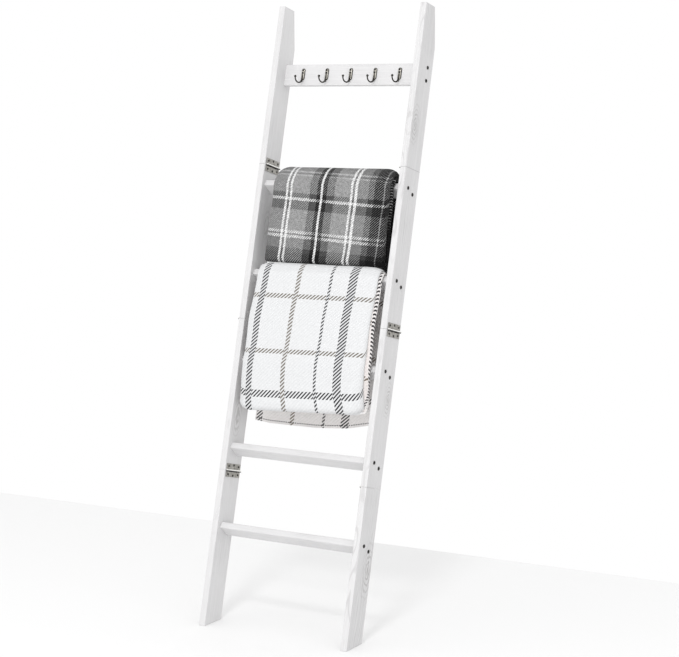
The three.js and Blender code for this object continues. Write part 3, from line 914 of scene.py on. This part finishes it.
def light_cloth():
    warp = (0.470, [(0.0, CREAM), (0.023, CHARCOAL), (0.0425, CREAM), (0.140, TAUPE), (0.155, CREAM),
                    (0.251, CHARCOAL), (0.260, CREAM), (0.314, CHARCOAL), (0.342, CREAM),
                    (0.414, CHARCOAL), (0.424, CREAM)])
    weft = (0.436, [(0.0, CREAM_SHADE), (0.049, CHARCOAL), (0.069, CREAM_SHADE),
                    (0.174, TAUPE), (0.188, CREAM_SHADE), (0.336, TAUPE), (0.350, CREAM_SHADE)])
    # The light throw's check, with painted light on its back fall and painted shade in its folds
    return twill("light_twill", warp, weft, (0.0121, 0.0110), 0.10, 0.0016, CREAM_SHADE, light_painted_shading)


def dark_cloth():
    warp = (0.452, [(0.0, MID), (0.050, CHALK), (0.058, MID), (0.064, CHALK), (0.072, GREY),
                    (0.132, DIM), (0.157, INK), (0.169, CHALK), (0.176, INK), (0.189, DIM),
                    (0.214, GREY), (0.267, CHALK), (0.275, MID), (0.282, CHALK), (0.290, MID),
                    (0.326, 0.03), (0.345, INK), (0.374, 0.25), (0.377, INK), (0.420, MID)])
    weft = (0.420, [(0.0, 0.01), (0.034, 0.06), (0.046, MID), (0.077, 0.9), (0.085, MID),
                    (0.090, 0.9), (0.098, GREY), (0.159, DIM), (0.184, 0.9), (0.192, DIM),
                    (0.206, GREY), (0.257, 0.6), (0.262, MID), (0.269, 0.6), (0.274, MID),
                    (0.315, DIM), (0.335, 0.02)])
    return twill("dark_twill", warp, weft, (0.0075, 0.0075), 0.6, 0.0050)


def dark_throw():
    """Over the first rung, down to the light throw in front."""
    nose, crest, heel = (rung_corner(RUNG_HEIGHTS[0], *k) for k in ((-1, -1), (-1, 1), (1, 1)))
    bottom = np.array((nose[0] - 0.0130, 1.0440))
    back_hem = np.array((heel[0] + 0.0005, 0.975))
    return Throw(
        width=0.382, cloth=0.0038, length=0.583, left=-0.166, crown=0.240, top=1.308,
        corners=[bottom, nose, crest, heel, back_hem],
        half=[(0, 0.0185), (0.35, 0.019), (0.5, 0.0195), (1, 0.0185)],
        short=[(0, 0), (0.382, 0)], wander=[(0, 0), (0.382, 0)],
        round=0.008, slip=0.3, pinch=0.28, shoulder=0.028, swell=0.004,
        skew_front=0.07, skew_back=0.07, flare=0.06, tuck=0.003, slope=0.052, rests_on=["rung_1"])


def light_throw():
    """Over the second rung, with its front lying on the third."""
    nose, crest, heel = (rung_corner(RUNG_HEIGHTS[1], *k) for k in ((-1, -1), (-1, 1), (1, 1)))
    lower_nose = rung_corner(RUNG_HEIGHTS[2], -1, -1)
    bottom = np.array((lower_nose[0] - 0.0055, 0.628))
    back_hem = np.array((heel[0] - 0.0215, 0.548))
    return Throw(
        width=0.411, cloth=0.0020, length=0.900, left=-0.200, crown=0.430, top=1.000,
        corners=[bottom, lower_nose, nose, crest, heel, back_hem],
        half=[(0, 0.0190), (0.08, 0.0165), (0.25, 0.0125), (0.40, 0.0110), (0.47, 0.0095),
              (0.55, 0.010), (0.7, 0.0115), (1, 0.0125)],
        short=[(0, 0.009), (0.05, 0.004), (0.2, 0.003), (0.32, 0.012), (0.411, 0.031)],
        wander=[(0, 0), (0.034, 0), (0.148, 0.002), (0.255, 0.011), (0.330, 0.004), (0.411, 0)],
        round=0.006, slip=0.35, pinch=0.36, shoulder=0.034, swell=0.005,
        skew_front=0.0, skew_back=0.1, flare=0.035, tuck=0.008, taper=0.016, corner=0.010,
        tilt=0.018, shear=0.020, curl=1.0, rests_on=["rung_2", "rung_3"])


make_camera()
make_studio()
finish_wood()
# The hinges' nickel, with a painted highlight and painted shade on each barrel
hinge_metal = nickel("aged_nickel_painted_barrel_light", (0.40, 0.39, 0.365), (0.23, 0.22, 0.20), 0.36, barrel_highlight_and_shade)
# Painted highlight: a bright copy of the hooks' nickel for their face plates
hook_highlight = nickel("nickel_painted_highlight", (0.66, 0.64, 0.58), (0.35, 0.33, 0.29), 0.25)
# Painted dark reflection: a near-black copy of the same nickel for their wires and plate rims
hook_dark_reflection = nickel("nickel_painted_dark_reflection", (0.060, 0.057, 0.050), (0.026, 0.024, 0.022), 0.28)
screw_steel = nickel("dull_steel", (0.060, 0.058, 0.055), (0.022, 0.021, 0.020), 0.30)
make_rail_screws(screw_steel)
small_head = screw_master("small_head", 0.0034, 0.0011, 0.0007)
make_hinges(hinge_metal, screw_steel, small_head)
make_hooks(hook_dark_reflection, hook_highlight, screw_steel, small_head)
folded_throw("dark_throw_cloth", dark_throw(), dark_cloth(), "dark_throw", "dark_blanket")
folded_throw("light_throw_cloth", light_throw(), light_cloth(), "light_throw",
             "light_blanket")
